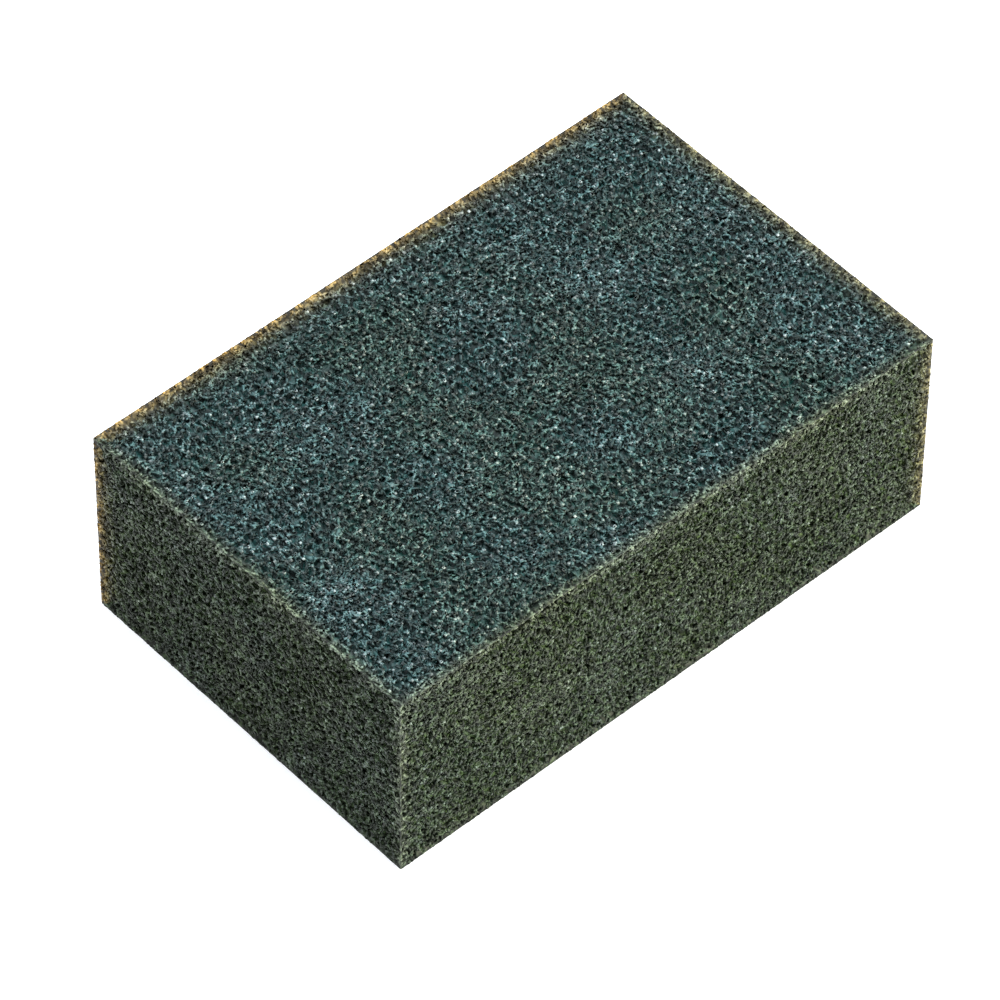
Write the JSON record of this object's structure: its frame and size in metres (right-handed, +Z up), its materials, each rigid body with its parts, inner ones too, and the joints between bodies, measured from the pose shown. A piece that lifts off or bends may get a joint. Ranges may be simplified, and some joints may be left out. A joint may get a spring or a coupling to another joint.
{
  "type": "foam block",
  "caption": "Rectangular block of coarse open-cell foam for holding flower stems, resting on its largest face.",
  "frame": {"origin": "centre of the face the block rests on", "axes": "+X along the length, +Y along the width, +Z up through the height"},
  "size_m": [0.14, 0.09, 0.05],
  "materials": {
    "foam": "matte open-cell foam, dark grey-green"
  },
  "bodies": {
    "root": {"foam_block": "foam"}
  },
  "joints": []
}
